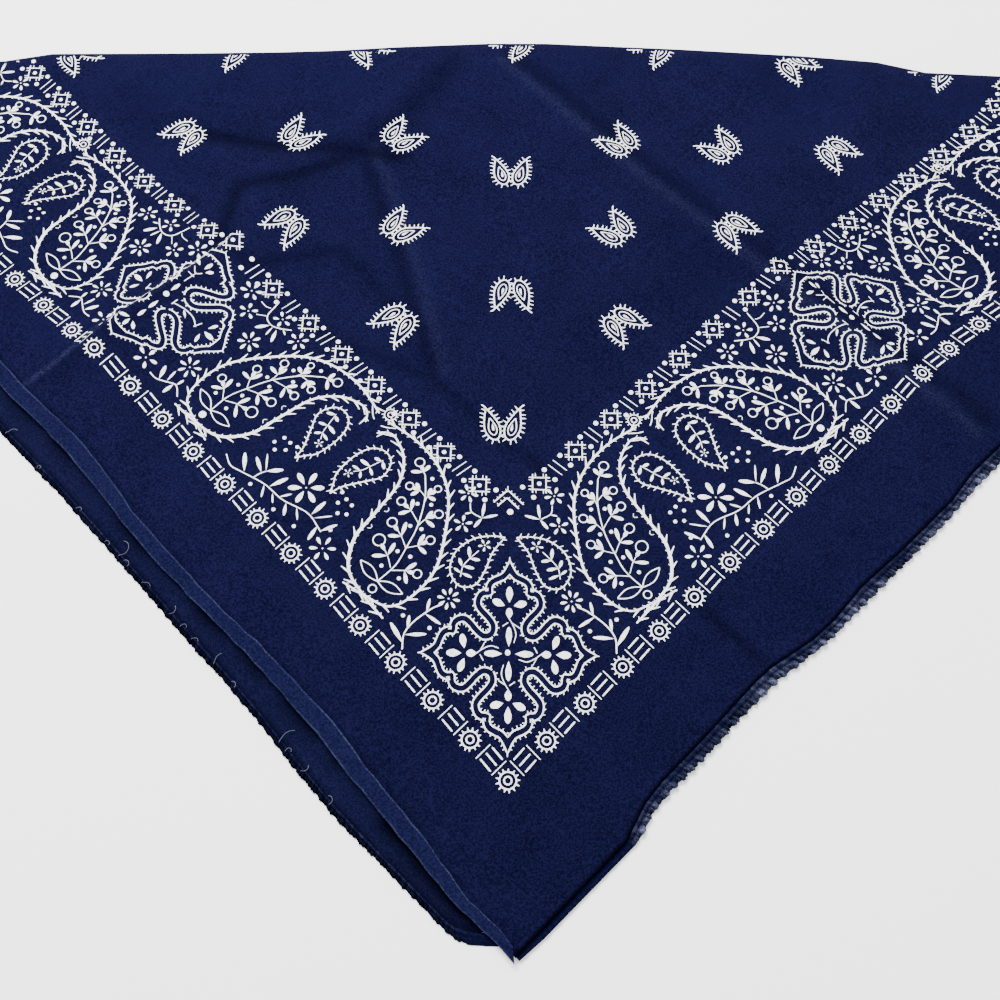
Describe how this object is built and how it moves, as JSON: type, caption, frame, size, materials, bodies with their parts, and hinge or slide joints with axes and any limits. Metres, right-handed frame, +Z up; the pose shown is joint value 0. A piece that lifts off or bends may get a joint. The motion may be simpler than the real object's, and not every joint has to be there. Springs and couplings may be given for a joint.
{
  "type": "folded bandana",
  "caption": "Square cotton bandana with a paisley border, folded once on its diagonal into a flat triangle, with roped hems.",
  "frame": {"origin": "middle of the bounding box in plan, on the surface that the cloth lies on", "axes": "+Z up out of the surface, +Y from the folded point toward the diagonal fold, +X along the fold to the right"},
  "size_m": [0.76, 0.3904, 0.0057],
  "materials": {
    "printed_face": "navy plain-weave cotton, printed face, matt with a soft nap",
    "plain_side": "navy plain-weave cotton, wrong side, matt, a little paler",
    "hem": "navy cotton roped hem, worn paler on its puckers",
    "print_ink": "off-white discharge print sunk in the weave, matt",
    "thread": "navy sewing thread, slightly glossy"
  },
  "bodies": {
    "root": {"cloth_front": "printed_face", "cloth_back": "plain_side", "hem_right_front": "hem", "hem_left_back": "hem", "strip_left_front": "plain_side", "strip_right_back": "plain_side"}
  },
  "joints": []
}
